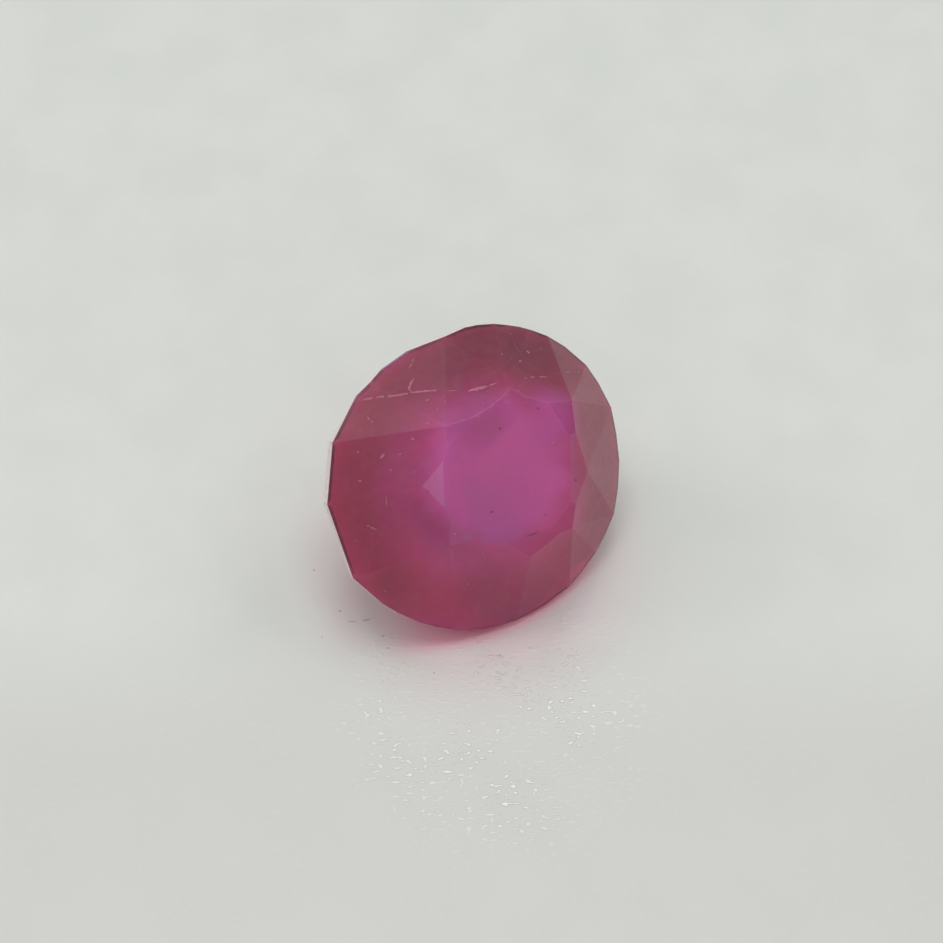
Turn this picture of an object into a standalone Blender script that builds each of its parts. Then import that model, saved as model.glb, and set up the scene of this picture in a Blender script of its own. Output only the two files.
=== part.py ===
"""A loose, hand-cut round ruby, lying on one of its pavilion facets.

The stone is worked out in millimetres in its own frame: the girdle's upper edge lies in z = 0, the table
faces +z and azimuths run anticlockwise as seen from the table. It is ground from a drum-shaped preform,
one plane for each facet, then laid on its resting facet and scaled to metres.
"""

import math

import bmesh
import bpy
from mathutils import Matrix, Vector

MM = 0.001

# driving dimensions of the stone, in millimetres and degrees
TABLE_HEIGHT = 1.95
PAVILION_DEPTH = 3.91
CULET_OFFSET = (0.04, 0.10)
STAR_SLOPE = 20.0
LOWER_BREAK_SLOPE = 47.0
PAVILION_MAINS = 8

# how it lies: the pavilion main that it rests on, and the way that the table then leans in plan
REST_AZIMUTH = 292.5
LEAN_AZIMUTH = -61.0

# the girdle's corners, anticlockwise from the right: azimuth, distance from the axis and thickness there
GIRDLE = (
    (5, 4.26, 0.34),
    (15, 4.33, 0.34),
    (25, 4.42, 0.34),
    (35, 4.465, 0.36),
    (43, 4.48, 0.37),
    (53, 4.47, 0.39),
    (61, 4.43, 0.42),
    (67, 4.39, 0.44),
    (72, 4.355, 0.46),
    (77, 4.31, 0.48),
    (82, 4.28, 0.50),
    (88, 4.215, 0.51),
    (93, 4.15, 0.52),
    (102, 4.00, 0.50),
    (124, 4.06, 0.14),
    (145, 4.07, 0.30),
    (165, 4.19, 0.40),
    (188, 4.25, 0.40),
    (217, 4.37, 0.16),
    (232, 4.28, 0.24),
    (239, 4.25, 0.27),
    (248, 4.22, 0.30),
    (255, 4.205, 0.30),
    (262, 4.195, 0.30),
    (268, 4.19, 0.30),
    (274, 4.175, 0.30),
    (280, 4.155, 0.30),
    (287, 4.135, 0.30),
    (293, 4.125, 0.30),
    (300, 4.12, 0.30),
    (312, 4.13, 0.30),
    (320, 4.125, 0.31),
    (329, 4.145, 0.32),
    (337, 4.18, 0.33),
    (345, 4.225, 0.34),
    (355, 4.25, 0.34),
)

# the crown is uneven, as hand cutting leaves it. Each row is one eighth of it: the azimuth of a kite's
# corner on the girdle, the azimuth where the two break facets after it meet, then the star's edge on the
# table and the star's outer tip, both as an azimuth and a distance from the axis
CROWN = (
    (25, 43, (34, 2.44), (44, 3.13)),
    (61, 82, (102, 2.06), (83, 2.63)),
    (102, 134, (138, 1.70), (131, 2.10)),
    (165, 188, (182, 1.51), (181, 2.06)),
    (217, 239, (234, 1.57), (232, 2.12)),
    (262, 287, (287, 1.65), (297, 2.31)),
    (312, 329, (323, 2.05), (330, 2.58)),
    (345, 5, (1, 2.12), (5, 2.69)),
)

# the preform is taller than the stone, and a cut this near a corner passes through it
PREFORM_MARGIN = 1.0
CUT_TOLERANCE = 0.012

RUBY_RED = (0.42, 0.03, 0.12, 1.0)
RUBY_ROUGHNESS = 0.12
RUBY_IOR = 1.77


def clear_scene():
    for obj in list(bpy.data.objects):
        bpy.data.objects.remove(obj, do_unlink=True)


def polar(azimuth, distance, z=0.0):
    angle = math.radians(azimuth)
    return Vector((distance * math.cos(angle), distance * math.sin(angle), z))


def outward_normal(point_a, point_b, point_c):
    """The normal of the plane through three points, pointing away from the stone's axis at the girdle."""
    normal = (point_b - point_a).cross(point_c - point_a).normalized()
    return normal if normal.dot(point_a) > 0.0 else -normal


def sloped_normal(azimuth, slope):
    """The outward normal of a crown facet that falls away from the table by the slope."""
    return polar(azimuth, math.sin(math.radians(slope)), math.cos(math.radians(slope)))


def girdle_point(azimuth, lower=False):
    """The point of the girdle's upper or lower edge at an azimuth."""
    direction = polar(azimuth, 1.0)
    across = polar(azimuth + 90.0, 1.0)
    corners = [polar(angle, distance, -thickness) for angle, distance, thickness in GIRDLE]
    for start, end in zip(corners, corners[1:] + corners[:1]):
        start_side = across.dot(start)
        end_side = across.dot(end)
        if start_side <= 0.0 < end_side and direction.dot(start) > 0.0:
            point = start.lerp(end, start_side / (start_side - end_side))
            return point if lower else Vector((point.x, point.y, 0.0))
    raise ValueError("the girdle's outline is open")


def star_plane(edge):
    """A point and the normal of the star facet with this edge on the table."""
    return polar(*edge, TABLE_HEIGHT), sloped_normal(edge[0], STAR_SLOPE)


def star_tip(edge, tip):
    """The star's outer tip, raised on to the star's plane."""
    point, normal = star_plane(edge)
    foot = polar(*tip)
    foot.z = normal.dot(point - foot) / normal.z
    return foot


def make_preform():
    """An upright drum over the girdle's outline."""
    bm = bmesh.new()
    top = TABLE_HEIGHT + PREFORM_MARGIN
    bottom = -PAVILION_DEPTH - PREFORM_MARGIN
    base = bm.faces.new([bm.verts.new(polar(angle, distance, bottom)) for angle, distance, _ in GIRDLE])
    wall = bmesh.ops.extrude_face_region(bm, geom=[base])
    raised = [item for item in wall["geom"] if isinstance(item, bmesh.types.BMVert)]
    bmesh.ops.translate(bm, verts=raised, vec=(0.0, 0.0, top - bottom))
    bmesh.ops.recalc_face_normals(bm, faces=bm.faces)
    return bm


def grind(bm, point, normal):
    """Grind one flat facet: what is beyond the plane goes, and the cut is closed."""
    cut = bmesh.ops.bisect_plane(
        bm,
        geom=bm.verts[:] + bm.edges[:] + bm.faces[:],
        dist=CUT_TOLERANCE,
        plane_co=point,
        plane_no=normal,
        clear_outer=True,
    )
    rim = [item for item in cut["geom_cut"] if isinstance(item, bmesh.types.BMEdge) and item.is_boundary]
    if rim:
        bmesh.ops.edgeloop_fill(bm, edges=rim)


def grind_crown(bm):
    """The table, then in each eighth a star, a kite and two break facets along the girdle."""
    up = Vector((0.0, 0.0, 1.0))
    grind(bm, up * TABLE_HEIGHT, up)
    tips = [star_tip(edge, tip) for _, _, edge, tip in CROWN]
    for index, (kite_azimuth, break_azimuth, edge, _) in enumerate(CROWN):
        corner = girdle_point(kite_azimuth)
        middle = girdle_point(break_azimuth)
        next_corner = girdle_point(CROWN[(index + 1) % len(CROWN)][0])
        tip = tips[index]
        grind(bm, *star_plane(edge))
        grind(bm, corner, outward_normal(corner, tips[index - 1], tip))
        grind(bm, corner, outward_normal(corner, middle, tip))
        grind(bm, middle, outward_normal(middle, next_corner, tip))


def culet():
    return Vector((*CULET_OFFSET, -PAVILION_DEPTH))


def pavilion_main_normal(azimuth):
    """A main runs from the girdle's lower edge at its azimuth down to the culet."""
    edge_point = girdle_point(azimuth, lower=True)
    return outward_normal(edge_point, edge_point + polar(azimuth + 90.0, 1.0), culet())


def lower_break_normal(start, end):
    """A break facet holds a stretch of the girdle's lower edge and falls steeply from it."""
    side = (end - start).normalized()
    inward = Vector((-side.y, side.x, 0.0)).normalized()
    slope = math.radians(LOWER_BREAK_SLOPE)
    fall = inward * math.cos(slope) - Vector((0.0, 0.0, math.sin(slope)))
    return outward_normal(start, end, start + fall)


def grind_pavilion(bm):
    """Sixteen break facets under the girdle, then the mains that meet at the culet."""
    stops = sorted(azimuth for row in CROWN for azimuth in row[:2])
    for azimuth, next_azimuth in zip(stops, stops[1:] + stops[:1]):
        start = girdle_point(azimuth, lower=True)
        end = girdle_point(next_azimuth, lower=True)
        grind(bm, start, lower_break_normal(start, end))
    for index in range(PAVILION_MAINS):
        azimuth = REST_AZIMUTH + index * 360.0 / PAVILION_MAINS
        grind(bm, culet(), pavilion_main_normal(azimuth))


def lay_down(bm):
    """Turn the resting facet down flat, lean the table its way, and centre the stone over z = 0."""
    facing = pavilion_main_normal(REST_AZIMUTH)
    heading = math.atan2(facing.y, facing.x)
    tilt = math.acos(-facing.z)
    turn = Matrix.Rotation(math.radians(LEAN_AZIMUTH), 3, "Z")
    turn = turn @ Matrix.Rotation(tilt, 3, "Y")
    turn = turn @ Matrix.Rotation(-heading, 3, "Z")
    bmesh.ops.transform(bm, matrix=turn.to_4x4() * MM, verts=bm.verts)
    low = Vector(min(vert.co[axis] for vert in bm.verts) for axis in range(3))
    high = Vector(max(vert.co[axis] for vert in bm.verts) for axis in range(3))
    middle = (low + high) / 2.0
    bmesh.ops.translate(bm, verts=bm.verts, vec=(-middle.x, -middle.y, -low.z))
    for vert in bm.verts:
        if vert.co.z < CUT_TOLERANCE * MM:
            vert.co.z = 0.0


def ruby_material():
    material = bpy.data.materials.new("ruby_crystal")
    material.use_nodes = True
    shader = material.node_tree.nodes["Principled BSDF"]
    shader.inputs["Base Color"].default_value = RUBY_RED
    shader.inputs["Roughness"].default_value = RUBY_ROUGHNESS
    shader.inputs["Metallic"].default_value = 0.0
    shader.inputs["IOR"].default_value = RUBY_IOR
    shader.inputs["Transmission Weight"].default_value = 1.0
    return material


def make_ruby():
    bm = make_preform()
    grind_crown(bm)
    grind_pavilion(bm)
    lay_down(bm)
    mesh = bpy.data.meshes.new("ruby")
    bm.to_mesh(mesh)
    bm.free()
    mesh.materials.append(ruby_material())
    stone = bpy.data.objects.new("ruby", mesh)
    bpy.context.scene.collection.objects.link(stone)
    return stone


clear_scene()
make_ruby()
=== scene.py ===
"""The ruby's looks: a cloudy purplish-red stone with fine inclusions on a pale, softly lit surface."""

import math
import random

import bmesh
import bpy
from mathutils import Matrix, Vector
from mathutils.bvhtree import BVHTree
from mathutils.geometry import intersect_point_line


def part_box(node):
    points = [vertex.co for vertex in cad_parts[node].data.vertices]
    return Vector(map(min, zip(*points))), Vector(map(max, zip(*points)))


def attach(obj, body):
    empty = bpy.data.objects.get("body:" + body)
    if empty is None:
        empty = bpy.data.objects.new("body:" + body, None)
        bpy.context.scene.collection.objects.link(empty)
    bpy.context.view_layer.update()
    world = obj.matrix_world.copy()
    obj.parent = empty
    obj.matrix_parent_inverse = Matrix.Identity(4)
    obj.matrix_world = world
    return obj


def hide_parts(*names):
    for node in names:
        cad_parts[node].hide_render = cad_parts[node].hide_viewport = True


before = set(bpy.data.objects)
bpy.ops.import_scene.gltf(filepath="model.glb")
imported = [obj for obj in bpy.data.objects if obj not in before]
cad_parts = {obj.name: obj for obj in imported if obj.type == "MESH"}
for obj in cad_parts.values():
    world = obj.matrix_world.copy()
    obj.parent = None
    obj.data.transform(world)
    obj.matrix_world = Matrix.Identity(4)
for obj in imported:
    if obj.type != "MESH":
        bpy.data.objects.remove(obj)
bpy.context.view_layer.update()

MM = 0.001

# directions in the shared frame. The front is the camera's side
RIGHT = (1.0, 0.0, 0.0)
LEFT = (-1.0, 0.0, 0.0)
UP = (0.0, 0.0, 1.0)
FRONT = (0.0, -1.0, 0.0)

# the camera looks along +Y and down, from far enough to flatten the perspective
IMAGE_SIZE = 943.0
CAMERA_ELEVATION = 57.0
CAMERA_DISTANCE = 0.130
MM_PER_PIXEL = 0.027476
PIXEL = MM_PER_PIXEL * MM
SENSOR = 36.0
CLIP_START = 0.001
CLIP_END = 10.0
# the pixel that the middle of the stone's box falls on in the photograph
STONE_PIXEL = (472.8, 474.2)

# the table stands this far above the girdle
CROWN_HEIGHT = 1.95 * MM
# points nearer than this are one, and faces that turn by less than this many degrees are one facet
WELD = 0.001 * MM
FACET_TURN = 0.3
# a facet looks up where its normal's upward part is more than this
UPWARD = 0.5
# flat facets are larger than this, in square metres
SMALLEST_FACET = 0.05 * MM * MM
# facet edges are rounded off by this much
EDGE_WEAR = 0.005 * MM
# a face is worn where it turns away from every facet by more than this many degrees
WORN_TURN = 0.4
# a strip of this width along the crown's edge takes the painted dark line of shade. It is wider at the back
RIM_WIDTH = 0.08 * MM
RIM_WIDTH_BACK = 0.10 * MM
# a strip lies on the rim where its middle is this share of its width or less from the rim
RIM_SHARE = 0.7
# how near a face's normal comes to the table's, as a cosine: more than the first on the crown,
# less than the second off the table, and less than the third either way on the girdle
CROWN_COSINE = 0.12
TABLE_COSINE = 0.99
GIRDLE_COSINE = 0.1

# colours of the stone, as linear light
# the heart is the stone's own purple brightened by painted light coming through the table
LIT_HEART_COLOUR = (0.83, 0.16, 0.57, 1.0)
HALO_COLOUR = (0.68, 0.09, 0.33, 1.0)
# painted light: the halo is pinker and brighter low down
HALO_LIT_LOW_COLOUR = (0.90, 0.14, 0.45, 1.0)
BLOOM_COLOUR = (0.74, 0.14, 0.60, 1.0)
DUSK_COLOUR = (0.40, 0.065, 0.22, 1.0)
# painted shade: the crown is darker at the back than at the front, and darker towards its sides
BACK_SHADE_COLOUR = (0.33, 0.045, 0.10, 1.0)
FRONT_COLOUR = (0.76, 0.062, 0.24, 1.0)
SIDE_SHADE_COLOUR = (0.43, 0.060, 0.130, 1.0)
# painted shade along the crown's rim and on the pavilion just under it behind
RIM_SHADE_COLOUR = (0.11, 0.022, 0.040, 1.0)
MILK_COLOUR = (0.60, 0.28, 0.38, 1.0)
SILK_COLOUR = (0.70, 0.40, 0.48, 1.0)
BRUISE_COLOUR = (0.60, 0.24, 0.32, 1.0)
GLOSS_COLOUR = (0.92, 0.74, 0.79, 1.0)
DEPTH_COLOUR = (0.90, 0.20, 0.45, 1.0)
GIRDLE_PALE = (0.84, 0.74, 0.75, 1.0)
# painted shade along the girdle's top, under the crown
GIRDLE_SHADE = (0.13, 0.05, 0.065, 1.0)
GIRDLE_ROSE = (0.70, 0.53, 0.56, 1.0)

# the colours' places: the heart and the halo from the table's middle, the others as pixels
HEART_OFFSET = Vector((0.30, -0.15, 0.0)) * MM
HALO_OFFSET = Vector((-0.20, -0.45, -0.30)) * MM
BLOOM_PIXEL = (553, 416)
DUSK_PIXEL = (474, 412)
# where each colour fades, from here to there along the way or the distance that it goes by
HEART_FADE = (1.5 * MM, 2.4 * MM)
HALO_FADE = (1.7 * MM, 3.5 * MM)
HALO_RISE = (2.8 * MM, 4.0 * MM)
BLOOM_FADE = (0.2 * MM, 1.25 * MM)
DUSK_FADE = (0.3 * MM, 1.3 * MM)
BACK_TO_FRONT = (-3.0 * MM, 3.0 * MM)
LEFT_SIDE_FADE = (0.8 * MM, 2.7 * MM)
RIGHT_SIDE_FADE = (1.9 * MM, 3.6 * MM)
RIM_FRONT_FADE = (2.5 * MM, 3.3 * MM)
UNDER_DEPTH = 0.9 * MM
UNDER_EDGE = 0.02 * MM
# how much of each colour there is where it is strongest
LEFT_SIDE_SHARE = 0.8
RIGHT_SIDE_SHARE = 0.7
BLOOM_SHARE = 0.6
DUSK_SHARE = 0.45
LINE_SHARE = 0.92
UNDER_SHARE = 0.9
MILK_SHARE = 0.10
SILK_SHARE = 0.07
BRUISE_SHARE = 0.10
# what is left of the rim's dark line at the front
LINE_FRONT_SHARE = 0.25
# the clouds push the fades in and out by this much in all
CLOUD_SPREAD = 1.3 * MM

# the stone's clouds, silk, bruises and frost: the size of their lumps
CLOUD_SIZE = 1.3 * MM
SILK_SIZE = 0.28 * MM
BRUISE_SIZE = 0.35 * MM
FROST_SIZE = 0.12 * MM
# how deep their relief is
CLOUD_DEPTH = 0.006 * MM
SILK_DEPTH = 0.0012 * MM
FROST_DEPTH = 0.004 * MM
MOTTLE_DEPTH = 0.01 * MM
# the girdle's painted dark line of shade fades out between these depths under the crown
GIRDLE_LINE = (0.01 * MM, 0.03 * MM)

# corundum's refractive index
RUBY_IOR = 1.77

# how glossy, clear and cloudy the stone and its girdle look, matched to the photograph
RUBY_SPECULAR = 0.43
STONE_CLEARNESS = 0.5
STONE_SCATTER = (1.0, 0.35, 0.6)
STONE_SCATTER_SCALE = 3.0 * MM
STONE_DENSITY = 110.0
GIRDLE_CLOUDINESS = 0.3
GIRDLE_SCATTER = (1.0, 0.4, 0.5)
GIRDLE_SCATTER_SCALE = 0.3 * MM

# the card that the stone lies on, its grain, and the light and shade painted on it
FLOOR_SIZE = 0.6
FLOOR_COLOUR = (0.66, 0.675, 0.645, 1.0)
FLOOR_COLOUR_2 = (0.68, 0.69, 0.665, 1.0)
FLOOR_NEAR = (0.605, 0.60, 0.585, 1.0)
# painted highlight: the grain's peaks are lighter as glints
GRAIN_GLINT_COLOUR = (0.86, 0.86, 0.84, 1.0)
# painted light and shade on the card: red light from the stone, lighter near its foot, a pinkish shadow
# further out, and lighter shadow at the sides
THROWN_LIGHT = (1.0, 0.36, 0.53, 1.0)
THROWN_LEFT = (0.78, 0.42, 0.52, 1.0)
NEAR_LIGHT = (0.76, 0.65, 0.66, 1.0)
FAINT_PINK_SHADOW = (0.60, 0.545, 0.535, 1.0)
FAINT_SIDE_LIGHT = (0.72, 0.635, 0.655, 1.0)
PATCH_SIZE = 2.2 * MM
GRAIN_SIZE = 0.11 * MM
GRAIN_STRETCH = (0.55, 1.0, 1.0)
GRAIN_DEPTH = 0.018 * MM
STONE_FOOT = Vector((0.0, -1.15, 0.0)) * MM
THROWN_MIDDLE = Vector((-2.02, 2.59, 0.0)) * MM
GRAIN_MIDDLE = Vector((0.5, -6.2, 0.0)) * MM
# where the light and shade painted on the card and its grain fade, as distances from those places or along
# a direction
FAINT_FADE = (2.8 * MM, 5.6 * MM)
NEAR_FADE = (2.6 * MM, 3.7 * MM)
ASIDE_FADE = (1.2 * MM, 3.0 * MM)
ASIDE_AHEAD_FADE = (3.0 * MM, 4.5 * MM)
THROWN_FADE = (6.25 * MM, 6.85 * MM)
THROWN_LEFT_FADE = (-2.8 * MM, -0.8 * MM)
THROWN_AHEAD_FADE = (0.5 * MM, 2.0 * MM)
THROWN_TURN = (-1.6 * MM, 1.8 * MM)
GRAIN_FADE = (2.2 * MM, 5.0 * MM)
FLOOR_FADE = (2.0 * MM, 8.0 * MM)
FOOT_WANDER = 0.8 * MM

# the small bodies: name, colour, other colour, size of the mottles and roughness
PALE_MINERAL = ("pale_mineral", (0.46, 0.14, 0.22, 1.0), (0.31, 0.075, 0.14, 1.0), 0.07 * MM, 0.35)
DARK_MINERAL = ("dark_mineral", (0.22, 0.03, 0.11, 1.0), (0.14, 0.018, 0.07, 1.0), 0.06 * MM, 0.3)
DUST_GREY = ("dust_grey", (0.46, 0.42, 0.43, 1.0), (0.33, 0.29, 0.30, 1.0), 0.08 * MM, 0.7)

# how far a vein stands out of its facet, and how far it goes in at least
VEIN_PROUD = 0.004 * MM
LEAST_VEIN_DEPTH = 0.006 * MM
# about half the height of the other small bodies, whose middles lie on the facets or on the card
FLECK_HEIGHT = 0.006 * MM
SPECK_HEIGHT = 0.005 * MM
STRAY_HEIGHT = 0.004 * MM
DUST_HEIGHT = 0.012 * MM
# veins are this much wider, and flecks and specks this much larger, than their tables say
VEIN_GAIN = 1.5
FLECK_GAIN = 1.3
# the strays: how many of each kind, the range of their sizes, and the middle that they are cast from,
# below the table
PALE_STRAYS = 60
DARK_STRAYS = 25
STRAY_SIZES = (0.012 * MM, 0.028 * MM)
STRAY_MIDDLE_DEPTH = 2.4 * MM
# no stray is put on the facet that the stone lies on
RESTING_NORMAL = -0.9

# healed cracks: line of pixels, half its width in pixels, and how broken it is
VEINS = (
    (((362, 400), (378, 397), (395, 395.5), (410, 393)), 0.8, 0.10),
    (((410, 393), (425, 391), (440, 390)), 0.7, 0.15),
    (((441, 391), (444, 397), (446.5, 406)), 0.22, 0.25),
    (((412, 393), (409, 388), (411, 383), (414, 378)), 0.7, 0.05),
    (((409, 369), (413, 362)), 0.7, 0.0),
    (((448, 391), (457, 390)), 0.6, 0.0),
    (((468, 391), (480, 388), (488, 386)), 1.2, 0.0),
    (((488, 386), (497, 383)), 0.7, 0.0),
    (((521, 378.5), (534, 377), (548, 377)), 0.6, 0.12),
    (((556, 373.5), (570, 372), (584, 372)), 0.4, 0.25),
    (((386, 494), (386.5, 507)), 0.6, 0.0),
    (((481.5, 551), (485, 560)), 0.6, 0.0),
)
# pale flecks: pixel, half length and half width in pixels, slant in degrees
FLECKS = (
    (382.5, 456, 3.6, 1.6, 55), (413, 439, 1.8, 1.2, 0), (427.5, 400, 1.6, 1.0, 20),
    (427.5, 423.5, 1.7, 1.0, 25), (368.5, 418.5, 2.0, 0.8, -50), (372, 421.5, 1.4, 0.7, -40),
    (358, 452, 1.3, 0.8, 30), (400, 454, 1.4, 0.7, 10), (391, 470, 1.5, 0.8, 0),
    (360, 481, 1.5, 0.9, 0), (373.5, 528.5, 3.4, 1.2, -20), (368, 526, 1.6, 0.8, 10),
    (385, 591, 2.2, 0.9, -25), (468, 584, 1.9, 1.1, -20), (607.5, 495, 1.0, 1.0, 0),
    (528, 352, 2.2, 1.2, -40), (520, 361, 1.6, 1.1, 30), (413, 360, 1.6, 0.9, 60),
    (483, 403, 1.3, 0.6, 30), (455, 534, 1.0, 0.8, 0), (553, 443, 0.9, 0.6, 0),
)
# dark flaws, given the same way as the flecks and the healed cracks
SPECKS = (
    (511, 334, 1.6, 1.2, 0), (491.6, 512, 1.3, 1.1, 0), (500, 428.5, 1.4, 1.0, 30),
    (538, 408.5, 1.4, 1.0, 0), (575.6, 480, 1.2, 1.2, 0), (511, 359, 2.0, 0.9, 40),
    (545, 515, 1.0, 0.8, 0), (437, 365, 1.2, 0.8, 70), (413.5, 441, 1.3, 0.5, 0),
)
DARK_VEINS = (
    (((512, 339), (516, 347), (523, 356)), 0.9, 0.0),
    (((524, 536), (532, 535), (540, 530)), 0.45, 0.0),
)
# dust on the card, given the same way as the flecks
DUST = (
    (314, 570, 1.4, 0.9, 20), (340, 611, 2.0, 1.2, 0), (383, 636, 2.2, 0.9, 25),
    (388, 648, 1.8, 0.8, -30), (352, 621.5, 5.0, 0.6, -5), (366, 620, 5.0, 0.6, 12),
    (322, 637, 1.3, 0.7, 10), (434, 673, 1.2, 0.7, 0), (500, 655, 1.2, 0.6, 0),
    (530, 648, 1.0, 0.6, 30),
)

# the room's light, and the soft boxes: name, azimuth and elevation in degrees, width and height in
# metres, and power. Azimuth 0 is behind the camera, 90 to its right
ROOM_COLOUR = (0.95, 0.98, 0.95, 1.0)
ROOM_STRENGTH = 0.48
LIGHT_DISTANCE = 0.4
LIGHTS = (
    ("overhead", 190.0, 76.0, 0.22, 0.22, 0.46),
    ("back_right", 123.0, 42.0, 0.20, 0.20, 0.29),
    ("back_left", 258.0, 29.0, 0.18, 0.18, 0.31),
    ("right_card", 82.0, 8.0, 0.12, 0.12, 0.02),
    ("front_right", 49.0, 36.0, 0.20, 0.20, 0.014),
    ("window", 234.0, 52.0, 0.32, 0.14, 0.065),
    ("star_card", 352.0, 46.0, 0.07, 0.07, 0.015),
    ("low_card", 12.0, 15.0, 0.08, 0.08, 0.008),
)
LIGHT_BOUNCES = 20
GLOSSY_BOUNCES = 8

random_draw = random.Random(17)


def link(obj):
    bpy.context.scene.collection.objects.link(obj)
    return obj


def add_camera(aim):
    """A camera whose frame covers the photograph's field at the stone."""
    field = IMAGE_SIZE * PIXEL
    data = bpy.data.cameras.new("camera")
    data.sensor_width = SENSOR
    data.lens = SENSOR * CAMERA_DISTANCE / field
    data.clip_start = CLIP_START
    data.clip_end = CLIP_END
    data.shift_x = (IMAGE_SIZE / 2.0 - STONE_PIXEL[0]) / IMAGE_SIZE
    data.shift_y = (STONE_PIXEL[1] - IMAGE_SIZE / 2.0) / IMAGE_SIZE
    added = link(bpy.data.objects.new("camera", data))
    down = math.radians(CAMERA_ELEVATION)
    back = Vector((0.0, -math.cos(down), math.sin(down)))
    added.location = aim + back * CAMERA_DISTANCE
    added.rotation_euler = (math.pi / 2.0 - down, 0.0, 0.0)
    bpy.context.scene.camera = added
    return added


def pixel_ray(x, y):
    """The camera's place and the direction that a pixel of the photograph looks in."""
    data = camera.data
    across = ((x / IMAGE_SIZE - 0.5) + data.shift_x) * SENSOR
    up = ((0.5 - y / IMAGE_SIZE) + data.shift_y) * SENSOR
    down = math.radians(CAMERA_ELEVATION)
    right_way = Vector(RIGHT)
    up_way = Vector((0.0, math.sin(down), math.cos(down)))
    ahead = Vector((0.0, math.cos(down), -math.sin(down)))
    return camera.location.copy(), (right_way * across + up_way * up + ahead * data.lens).normalized()


def table_facet(mesh):
    """The stone's largest facet that looks up: its normal and its middle."""
    upward = [face for face in mesh.polygons if face.normal.z > UPWARD]
    table = max(upward, key=lambda face: face.area)
    return table.normal.copy(), table.center.copy()


def off_segment(point, start, end):
    """How far a point is from a straight edge."""
    nearest, share = intersect_point_line(point, start, end)
    if share < 0.0:
        nearest = start
    elif share > 1.0:
        nearest = end
    return (point - nearest).length


def facing(face):
    """How far a face looks the table's way, as a cosine."""
    return face.normal.dot(table_normal)


def is_behind(face):
    """Whether a face lies behind the middle of the stone, as the camera sees it."""
    return face.calc_center_median().y > middle.y


def crown_rim(bm):
    """The ends of each edge between the crown and the girdle."""
    rim_edges = []
    for edge in bm.edges:
        sides = [facing(face) > CROWN_COSINE for face in edge.link_faces]
        if sides[0] != sides[1]:
            rim_edges.append([vert.co.copy() for vert in edge.verts])
    return rim_edges


def add_rim_strips(bm):
    """Flat strips along the edges of the crown's facets, which keep their shape."""
    crown = [
        face for face in bm.faces
        if CROWN_COSINE < facing(face) < TABLE_COSINE and face.calc_area() > SMALLEST_FACET
    ]
    behind = [face for face in crown if is_behind(face)]
    before = [face for face in crown if not is_behind(face)]
    for faces, width in ((behind, RIM_WIDTH_BACK), (before, RIM_WIDTH)):
        bmesh.ops.inset_individual(bm, faces=faces, thickness=width, use_even_offset=True)


def mark_faces(bm, facets, rim_edges):
    """Marks for the materials: the rim, the worn edges and the crown. The girdle is the second one's."""
    rim = bm.faces.layers.float.new("rim")
    wear = bm.faces.layers.float.new("wear")
    crowned = bm.faces.layers.float.new("crown")
    for face in bm.faces:
        face.normal_update()
        flat = max(face.normal.dot(facet) for facet in facets) > math.cos(math.radians(WORN_TURN))
        face[wear] = 0.0 if flat else 1.0
        face[crowned] = 1.0 if facing(face) > CROWN_COSINE else 0.0
        off_rim = min(off_segment(face.calc_center_median(), *edge) for edge in rim_edges)
        width = RIM_WIDTH_BACK if is_behind(face) else RIM_WIDTH
        face[rim] = face[crowned] if off_rim < RIM_SHARE * width else 0.0
        face.material_index = 1 if flat and abs(facing(face)) < GIRDLE_COSINE else 0


def ground_stone():
    """The solid's facets with their edges rounded off."""
    bm = bmesh.new()
    bm.from_mesh(stone.data)
    bmesh.ops.remove_doubles(bm, verts=bm.verts, dist=WELD)
    bmesh.ops.dissolve_limit(bm, angle_limit=math.radians(FACET_TURN), verts=bm.verts, edges=bm.edges)
    facets = [face.normal.copy() for face in bm.faces]
    rim_edges = crown_rim(bm)
    bmesh.ops.bevel(
        bm,
        geom=bm.edges[:] + bm.verts[:],
        offset=EDGE_WEAR,
        offset_type="OFFSET",
        segments=2,
        profile=0.5,
        affect="EDGES",
        clamp_overlap=True,
    )
    bmesh.ops.recalc_face_normals(bm, faces=bm.faces)
    add_rim_strips(bm)
    mark_faces(bm, facets, rim_edges)
    return bm


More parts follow.
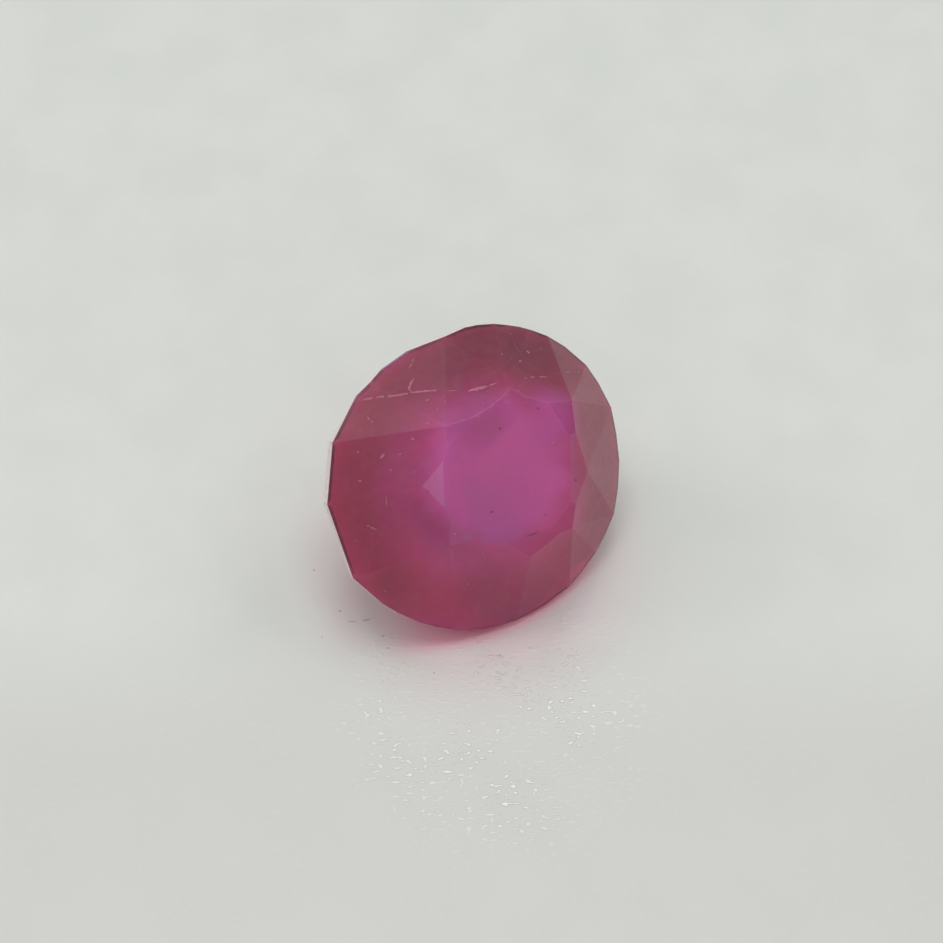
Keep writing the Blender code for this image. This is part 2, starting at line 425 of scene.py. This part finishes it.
class Net:
    """A material's nodes, added and joined with few words."""

    def __init__(self, name):
        self.material = bpy.data.materials.new(name)
        self.material.use_nodes = True
        self.tree = self.material.node_tree
        self.shader = self.tree.nodes["Principled BSDF"]
        self.output = self.tree.nodes["Material Output"]

    def add(self, kind, **settings):
        node = self.tree.nodes.new("ShaderNode" + kind)
        for name, value in settings.items():
            setattr(node, name, value)
        return node

    def join(self, source, target):
        self.tree.links.new(source, target)

    def feed(self, value, socket):
        """Set a socket to a number or colour, or join it to another node's output."""
        if isinstance(value, (int, float, tuple)):
            socket.default_value = value
        else:
            self.join(value, socket)

    def set(self, **values):
        """Constant values on the shader's own sockets, named with _ for each space."""
        for name, value in values.items():
            self.shader.inputs[name.replace("_", " ")].default_value = value

    def place(self):
        return self.add("TexCoord").outputs["Object"]

    def vector_maths(self, operation, vector, other):
        node = self.add("VectorMath", operation=operation)
        self.join(vector, node.inputs[0])
        node.inputs[1].default_value = other
        return node

    def shifted(self, vector, offset):
        return self.vector_maths("SUBTRACT", vector, offset).outputs["Vector"]

    def scaled(self, vector, factors):
        return self.vector_maths("MULTIPLY", vector, factors).outputs["Vector"]

    def dot(self, vector, way):
        return self.vector_maths("DOT_PRODUCT", vector, way).outputs["Value"]

    def distance(self, vector, middle_point):
        node = self.add("VectorMath", operation="LENGTH")
        self.join(self.shifted(vector, middle_point), node.inputs[0])
        return node.outputs["Value"]

    def maths(self, operation, first, second):
        node = self.add("Math", operation=operation)
        self.feed(first, node.inputs[0])
        self.feed(second, node.inputs[1])
        return node.outputs["Value"]

    def product(self, first, *others):
        for other in others:
            first = self.maths("MULTIPLY", first, other)
        return first

    def rest_of(self, share):
        """What a share leaves of the whole."""
        return self.maths("SUBTRACT", 1.0, share)

    def ramp(self, value, start, end, low=0.0, high=1.0):
        node = self.add("MapRange", interpolation_type="SMOOTHSTEP")
        self.join(value, node.inputs["Value"])
        for name, number in (("From Min", start), ("From Max", end), ("To Min", low), ("To Max", high)):
            node.inputs[name].default_value = number
        return node.outputs["Result"]

    def noise(self, vector, size, detail=3.0, roughness=0.5):
        """Clouds whose lumps are about this size in metres."""
        node = self.add("TexNoise")
        self.join(vector, node.inputs["Vector"])
        node.inputs["Scale"].default_value = 1.0 / size
        node.inputs["Detail"].default_value = detail
        node.inputs["Roughness"].default_value = roughness
        return node.outputs["Fac"]

    def blend(self, factor, first, second):
        node = self.add("Mix", data_type="RGBA", blend_type="MIX")
        self.join(factor, node.inputs["Factor"])
        self.feed(first, node.inputs[6])
        self.feed(second, node.inputs[7])
        return node.outputs[2]

    def mark(self, name):
        return self.add("Attribute", attribute_name=name).outputs["Fac"]

    def bump(self, height, depth, strength, after=None):
        node = self.add("Bump")
        self.join(height, node.inputs["Height"])
        node.inputs["Distance"].default_value = depth
        node.inputs["Strength"].default_value = strength
        if after is not None:
            self.join(after, node.inputs["Normal"])
        return node.outputs["Normal"]

    def crown_depth(self, place):
        """The height above the table's plane, negative in the stone."""
        return self.dot(self.shifted(place, table_middle), table_normal)


def colour_with_painted_light_and_shade(net, place, clouds, back_to_front):
    """Purple heart under the table, the stone's own colour brightened by painted light coming through the
    table, spreading softly and unevenly into the red crown, which is painted darker at the back and towards
    the sides as shade.
    """
    uneven = net.product(net.maths("SUBTRACT", clouds, 0.5), CLOUD_SPREAD)
    reach = net.maths("ADD", net.distance(place, table_middle + HEART_OFFSET), uneven)
    spread = net.maths("ADD", net.distance(place, table_middle + HALO_OFFSET), uneven)
    # painted light: the halo is pinker and brighter low down
    halo = net.blend(net.ramp(net.dot(place, UP), *HALO_RISE), HALO_LIT_LOW_COLOUR, HALO_COLOUR)
    # the heart: the stone's own purple, brightened by painted light coming through the table
    purple = net.blend(net.ramp(reach, *HEART_FADE), LIT_HEART_COLOUR, halo)
    # painted shade: the crown is darker at the back than at the front
    crown = net.blend(back_to_front, BACK_SHADE_COLOUR, FRONT_COLOUR)
    # painted shade: the crown is darker towards its left and right sides
    left_side = net.ramp(net.dot(place, LEFT), *LEFT_SIDE_FADE, 0.0, LEFT_SIDE_SHARE)
    right_side = net.ramp(net.dot(place, RIGHT), *RIGHT_SIDE_FADE, 0.0, RIGHT_SIDE_SHARE)
    crown = net.blend(left_side, crown, SIDE_SHADE_COLOUR)
    crown = net.blend(right_side, crown, SIDE_SHADE_COLOUR)
    body = net.blend(net.ramp(spread, *HALO_FADE), purple, crown)

    # the purple blooms towards the table's far right corner and is duller at its far left one
    bloom = net.distance(place, on_stone(*BLOOM_PIXEL)[0])
    body = net.blend(net.ramp(bloom, *BLOOM_FADE, BLOOM_SHARE, 0.0), body, BLOOM_COLOUR)
    dusk = net.distance(place, on_stone(*DUSK_PIXEL)[0])
    return net.blend(net.ramp(dusk, *DUSK_FADE, DUSK_SHARE, 0.0), body, DUSK_COLOUR)


def darkened_rim(net, body, place, back_to_front):
    """Painted shade: a thin dark line where crown and girdle meet, and a pavilion that is dark just under
    it behind.
    """
    line_front = net.ramp(net.dot(place, FRONT), *RIM_FRONT_FADE, 1.0, LINE_FRONT_SHARE)
    line = net.product(net.mark("rim"), LINE_SHARE, line_front)
    body = net.blend(line, body, RIM_SHADE_COLOUR)
    depth = net.crown_depth(place)
    under = net.product(
        net.ramp(depth, -CROWN_HEIGHT - UNDER_DEPTH, -CROWN_HEIGHT, 0.0, UNDER_SHARE),
        net.ramp(depth, -CROWN_HEIGHT, -CROWN_HEIGHT + UNDER_EDGE, 1.0, 0.0),
        net.rest_of(back_to_front),
        net.rest_of(net.mark("crown")),
    )
    return net.blend(under, body, RIM_SHADE_COLOUR)


def clouded(net, body, place, clouds, silk):
    """Milky zones, silk and bruised facet edges."""
    body = net.blend(net.ramp(clouds, 0.42, 0.75, 0.0, MILK_SHARE), body, MILK_COLOUR)
    body = net.blend(net.ramp(silk, 0.35, 0.8, 0.0, SILK_SHARE), body, SILK_COLOUR)
    bruised = net.ramp(net.noise(place, BRUISE_SIZE), 0.55, 0.8, 0.0, BRUISE_SHARE)
    bruise = net.product(net.mark("wear"), bruised)
    return net.blend(bruise, body, BRUISE_COLOUR)


def ruby_material():
    """Cloudy corundum: clear body colour by absorption, purplish under the table and redder to the rim."""
    net = Net("ruby_crystal")
    place = net.place()
    clouds = net.noise(place, CLOUD_SIZE, detail=4.0, roughness=0.55)
    silk = net.noise(place, SILK_SIZE, detail=3.0, roughness=0.6)
    back_to_front = net.ramp(net.dot(place, FRONT), *BACK_TO_FRONT)
    body = colour_with_painted_light_and_shade(net, place, clouds, back_to_front)
    body = darkened_rim(net, body, place, back_to_front)
    body = clouded(net, body, place, clouds, silk)
    net.join(body, net.shader.inputs["Base Color"])

    # polish, a little softer on worn edges
    polish = net.ramp(silk, 0.3, 0.7, 0.12, 0.20)
    polish = net.maths("ADD", polish, net.product(net.mark("wear"), 0.03))
    net.join(polish, net.shader.inputs["Roughness"])
    height = net.bump(clouds, CLOUD_DEPTH, 0.5)
    height = net.bump(silk, SILK_DEPTH, 0.5, after=height)
    net.join(height, net.shader.inputs["Normal"])

    net.set(
        IOR=RUBY_IOR,
        Specular_IOR_Level=RUBY_SPECULAR,
        Specular_Tint=GLOSS_COLOUR,
        Transmission_Weight=STONE_CLEARNESS,
        Subsurface_Weight=1.0,
        Subsurface_Radius=STONE_SCATTER,
        Subsurface_Scale=STONE_SCATTER_SCALE,
    )
    volume = net.add("VolumeAbsorption")
    volume.inputs["Color"].default_value = DEPTH_COLOUR
    volume.inputs["Density"].default_value = STONE_DENSITY
    net.join(volume.outputs["Volume"], net.output.inputs["Volume"])
    return net.material


def girdle_material():
    """The girdle is left as it was ground: frosted and pale, with a painted dark line of shade under the
    crown.
    """
    net = Net("ruby_frosted")
    place = net.place()
    frost = net.noise(place, FROST_SIZE, detail=5.0, roughness=0.7)
    below = net.product(net.maths("ADD", net.crown_depth(place), CROWN_HEIGHT), -1.0)
    body = net.blend(net.ramp(frost, 0.3, 0.7), GIRDLE_PALE, GIRDLE_ROSE)
    # painted shade along the girdle's top, under the crown
    body = net.blend(net.ramp(below, *GIRDLE_LINE, 1.0, 0.0), body, GIRDLE_SHADE)
    net.join(body, net.shader.inputs["Base Color"])
    net.join(net.ramp(frost, 0.3, 0.7, 0.45, 0.65), net.shader.inputs["Roughness"])
    net.join(net.bump(frost, FROST_DEPTH, 0.7), net.shader.inputs["Normal"])
    net.set(
        Subsurface_Weight=GIRDLE_CLOUDINESS,
        Subsurface_Radius=GIRDLE_SCATTER,
        Subsurface_Scale=GIRDLE_SCATTER_SCALE,
    )
    return net.material


def mineral_material(name, colour, other, size, roughness):
    """A mottled solid colour for the small bodies in and on the stone."""
    net = Net(name)
    place = net.place()
    spots = net.noise(place, size, detail=4.0, roughness=0.6)
    net.join(net.blend(net.ramp(spots, 0.35, 0.65), colour, other), net.shader.inputs["Base Color"])
    net.join(net.ramp(spots, 0.3, 0.7, roughness, roughness + 0.2), net.shader.inputs["Roughness"])
    net.join(net.bump(spots, MOTTLE_DEPTH, 0.6), net.shader.inputs["Normal"])
    return net.material


def painted_light_on_card(net, body, place, patches):
    """Painted light and shade on the card: the red light that the stone lets through and throws around its
    foot, a pinkish painted shadow, and painted light in the shadow at the sides.
    """
    ahead = net.dot(place, FRONT)
    rightward = net.dot(place, RIGHT)
    wander = net.product(net.maths("SUBTRACT", patches, 0.5), FOOT_WANDER)
    foot = net.maths("ADD", net.distance(place, STONE_FOOT), wander)
    # a pinkish painted shadow around the foot, painted lighter near the stone
    faint = net.ramp(foot, *FAINT_FADE, 0.95, 0.0)
    faint_colour = net.blend(net.ramp(foot, *NEAR_FADE), NEAR_LIGHT, FAINT_PINK_SHADOW)
    # painted light that lightens the shadow at the sides
    aside = net.product(
        net.ramp(net.maths("ABSOLUTE", rightward, 0.0), *ASIDE_FADE),
        net.ramp(ahead, *ASIDE_AHEAD_FADE, 1.0, 0.0),
    )
    body = net.blend(faint, body, net.blend(aside, faint_colour, FAINT_SIDE_LIGHT))

    # the stronger painted red light ends in a round front edge
    thrown = net.product(
        net.ramp(net.distance(place, THROWN_MIDDLE), *THROWN_FADE, 0.95, 0.0),
        net.ramp(rightward, *THROWN_LEFT_FADE),
        net.ramp(ahead, *THROWN_AHEAD_FADE),
    )
    thrown_colour = net.blend(net.ramp(rightward, *THROWN_TURN), THROWN_LEFT, THROWN_LIGHT)
    return net.blend(thrown, body, thrown_colour)


def floor_material():
    """Pale, slightly glossy card with a faint grain, whose raised peaks are painted lighter as glints."""
    net = Net("pale_card")
    place = net.place()
    patches = net.noise(place, PATCH_SIZE, detail=2.0)
    grain = net.noise(net.scaled(place, GRAIN_STRETCH), GRAIN_SIZE, detail=0.6)
    peaks = net.product(
        net.ramp(grain, 0.57, 0.69),
        net.ramp(net.distance(place, GRAIN_MIDDLE), *GRAIN_FADE, 1.0, 0.06),
        net.ramp(patches, 0.40, 0.60, 0.15, 1.0),
    )
    body = net.blend(net.ramp(patches, 0.3, 0.7), FLOOR_COLOUR, FLOOR_COLOUR_2)
    body = net.blend(net.ramp(net.dot(place, FRONT), *FLOOR_FADE), body, FLOOR_NEAR)
    # painted highlight: the grain's raised peaks are lighter as glints
    body = net.blend(net.product(peaks, 0.9), body, GRAIN_GLINT_COLOUR)
    body = painted_light_on_card(net, body, place, patches)
    net.join(body, net.shader.inputs["Base Color"])
    net.join(net.bump(peaks, GRAIN_DEPTH, 1.0), net.shader.inputs["Normal"])
    net.join(net.ramp(patches, 0.3, 0.7, 0.28, 0.34), net.shader.inputs["Roughness"])
    net.set(Specular_IOR_Level=0.5)
    return net.material


def new_object(name, bm, materials):
    mesh = bpy.data.meshes.new(name)
    bm.to_mesh(mesh)
    for material in materials:
        mesh.materials.append(material)
    return link(bpy.data.objects.new(name, mesh))


def new_piece(name, bm, materials, replaced=None):
    piece = new_object(name, bm, materials)
    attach(piece, "root")
    if replaced:
        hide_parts(replaced)
    return piece


def on_stone(x, y):
    """The point and the facet normal of the stone that a pixel of the photograph shows, or nothing."""
    origin, way = pixel_ray(x, y)
    point, normal, _, _ = stone_tree.ray_cast(origin, way)
    return (point, normal) if point else None


def random_way():
    return Vector((random_draw.gauss(0, 1), random_draw.gauss(0, 1), random_draw.gauss(0, 1)))


def add_lump(bm, point, normal, along, length, width, height):
    """A small irregular crystal, half sunk in the facet."""
    along = (along - normal * along.dot(normal)).normalized()
    across = normal.cross(along)
    made = bmesh.ops.create_icosphere(bm, subdivisions=1, radius=1.0)
    for vert in made["verts"]:
        jitter = random_draw.uniform(0.7, 1.15)
        local = vert.co * jitter
        vert.co = point + along * local.x * length + across * local.y * width + normal * local.z * height


def add_thread(bm, stations):
    """A thin closed vein along the stations, each a point, its facet normal and half its width."""
    rings = []
    for index, (point, normal, half) in enumerate(stations):
        before = stations[max(index - 1, 0)][0]
        after = stations[min(index + 1, len(stations) - 1)][0]
        along = (after - before).normalized()
        across = normal.cross(along).normalized()
        depth = max(half * 0.6, LEAST_VEIN_DEPTH)
        corners = (
            point + across * half,
            point + normal * VEIN_PROUD,
            point - across * half,
            point - normal * depth,
        )
        rings.append([bm.verts.new(corner) for corner in corners])
    for ring, other in zip(rings, rings[1:]):
        for side in range(4):
            following = (side + 1) % 4
            bm.faces.new((ring[side], ring[following], other[following], other[side]))
    bm.faces.new(rings[0][::-1])
    bm.faces.new(rings[-1])


def pixel_line(points, step=1.8, wander=0.3):
    """Pixels along a broken line, a little unsteady."""
    line = []
    for (x0, y0), (x1, y1) in zip(points, points[1:]):
        count = max(int(math.hypot(x1 - x0, y1 - y0) / step), 1)
        for index in range(count):
            share = index / count
            x = x0 + (x1 - x0) * share + random_draw.uniform(-wander, wander)
            y = y0 + (y1 - y0) * share + random_draw.uniform(-wander, wander)
            line.append((x, y))
    line.append(points[-1])
    return line


def add_vein(bm, points, half_pixels, broken):
    """A healed crack that reaches the surface along a line of pixels, with gaps."""
    run = []
    line = pixel_line(points)
    for index, (x, y) in enumerate(line):
        hit = on_stone(x, y)
        gap = random_draw.random() < broken
        if hit and not gap:
            taper = min(index + 0.4, len(line) - index - 0.6, 3.0) / 3.0
            half = VEIN_GAIN * half_pixels * taper * random_draw.uniform(0.7, 1.2) * PIXEL
            run.append((hit[0], hit[1], half))
        if (gap or not hit or index == len(line) - 1) and run:
            if len(run) > 1:
                add_thread(bm, run)
            run = []


def add_flecks(bm, table, height):
    for x, y, length, width, slant in table:
        hit = on_stone(x, y)
        if hit is None:
            continue
        turn = math.radians(slant)
        ahead = on_stone(x + math.cos(turn), y - math.sin(turn))
        along = (ahead[0] - hit[0]) if ahead else Vector(RIGHT)
        add_lump(bm, hit[0], hit[1], along, FLECK_GAIN * length * PIXEL, FLECK_GAIN * width * PIXEL, height)


def add_strays(bm, count):
    """Small flecks all over the stone, also where the photograph doesn't look."""
    centre = table_middle - table_normal * STRAY_MIDDLE_DEPTH
    for _ in range(count):
        point, normal, _, _ = stone_tree.ray_cast(centre, random_way().normalized())
        if point is None or normal.z < RESTING_NORMAL:
            continue
        along = random_way()
        size = random_draw.uniform(*STRAY_SIZES)
        add_lump(bm, point, normal, along, size * random_draw.uniform(1.0, 2.2), size * 0.7, STRAY_HEIGHT)


def inclusions(veins, flecks, fleck_height, strays):
    """The small bodies of one kind, in one mesh."""
    bm = bmesh.new()
    for points, half, broken in veins:
        add_vein(bm, points, half, broken)
    add_flecks(bm, flecks, fleck_height)
    add_strays(bm, strays)
    return bm


def add_floor():
    bm = bmesh.new()
    bmesh.ops.create_grid(bm, x_segments=1, y_segments=1, size=FLOOR_SIZE)
    floor = new_object("floor", bm, [floor_material()])


def add_dust():
    """Specks and a fibre that lie on the card beside the stone."""
    bm = bmesh.new()
    for x, y, length, width, slant in DUST:
        origin, way = pixel_ray(x, y)
        point = origin - way * (origin.z / way.z)
        turn = math.radians(slant)
        along = Vector((math.cos(turn), math.sin(turn), 0.0))
        add_lump(bm, point, Vector(UP), along, length * PIXEL, width * PIXEL, DUST_HEIGHT)
    dust = new_object("dust", bm, [mineral_material(*DUST_GREY)])


def add_light(name, azimuth, elevation, width, height, power):
    """A soft box aimed at the stone."""
    data = bpy.data.lights.new(name, "AREA")
    data.shape = "SQUARE" if width == height else "RECTANGLE"
    data.size = width
    data.size_y = height
    data.energy = power
    light = link(bpy.data.objects.new(name, data))
    turn = math.radians(azimuth)
    rise = math.radians(elevation)
    way = Vector((math.sin(turn) * math.cos(rise), -math.cos(turn) * math.cos(rise), math.sin(rise)))
    light.location = middle + way * LIGHT_DISTANCE
    light.rotation_euler = way.to_track_quat("Z", "Y").to_euler()


def set_room():
    world = bpy.data.worlds.new("room")
    world.use_nodes = True
    background = world.node_tree.nodes["Background"]
    background.inputs["Color"].default_value = ROOM_COLOUR
    background.inputs["Strength"].default_value = ROOM_STRENGTH
    bpy.context.scene.world = world


def set_light_paths():
    """Plain colours, and enough bounces for light to cross the stone."""
    bpy.context.scene.view_settings.view_transform = "Standard"
    cycles = bpy.context.scene.cycles
    cycles.max_bounces = LIGHT_BOUNCES
    cycles.transmission_bounces = LIGHT_BOUNCES
    cycles.glossy_bounces = GLOSSY_BOUNCES


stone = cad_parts["ruby"]
low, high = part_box("ruby")
middle = Vector([(near + far) / 2.0 for near, far in zip(low, high)])
camera = add_camera(middle)
table_normal, table_middle = table_facet(stone.data)

set_room()
for light_values in LIGHTS:
    add_light(*light_values)
add_floor()

stone_bmesh = ground_stone()
stone_tree = BVHTree.FromBMesh(stone_bmesh)
new_piece("ruby_stone", stone_bmesh, [ruby_material(), girdle_material()], "ruby")
pale = inclusions(VEINS, FLECKS, FLECK_HEIGHT, PALE_STRAYS)
add_dust()
new_piece("pale_inclusions", pale, [mineral_material(*PALE_MINERAL)])
dark = inclusions(DARK_VEINS, SPECKS, SPECK_HEIGHT, DARK_STRAYS)
new_piece("dark_inclusions", dark, [mineral_material(*DARK_MINERAL)])
set_light_paths()
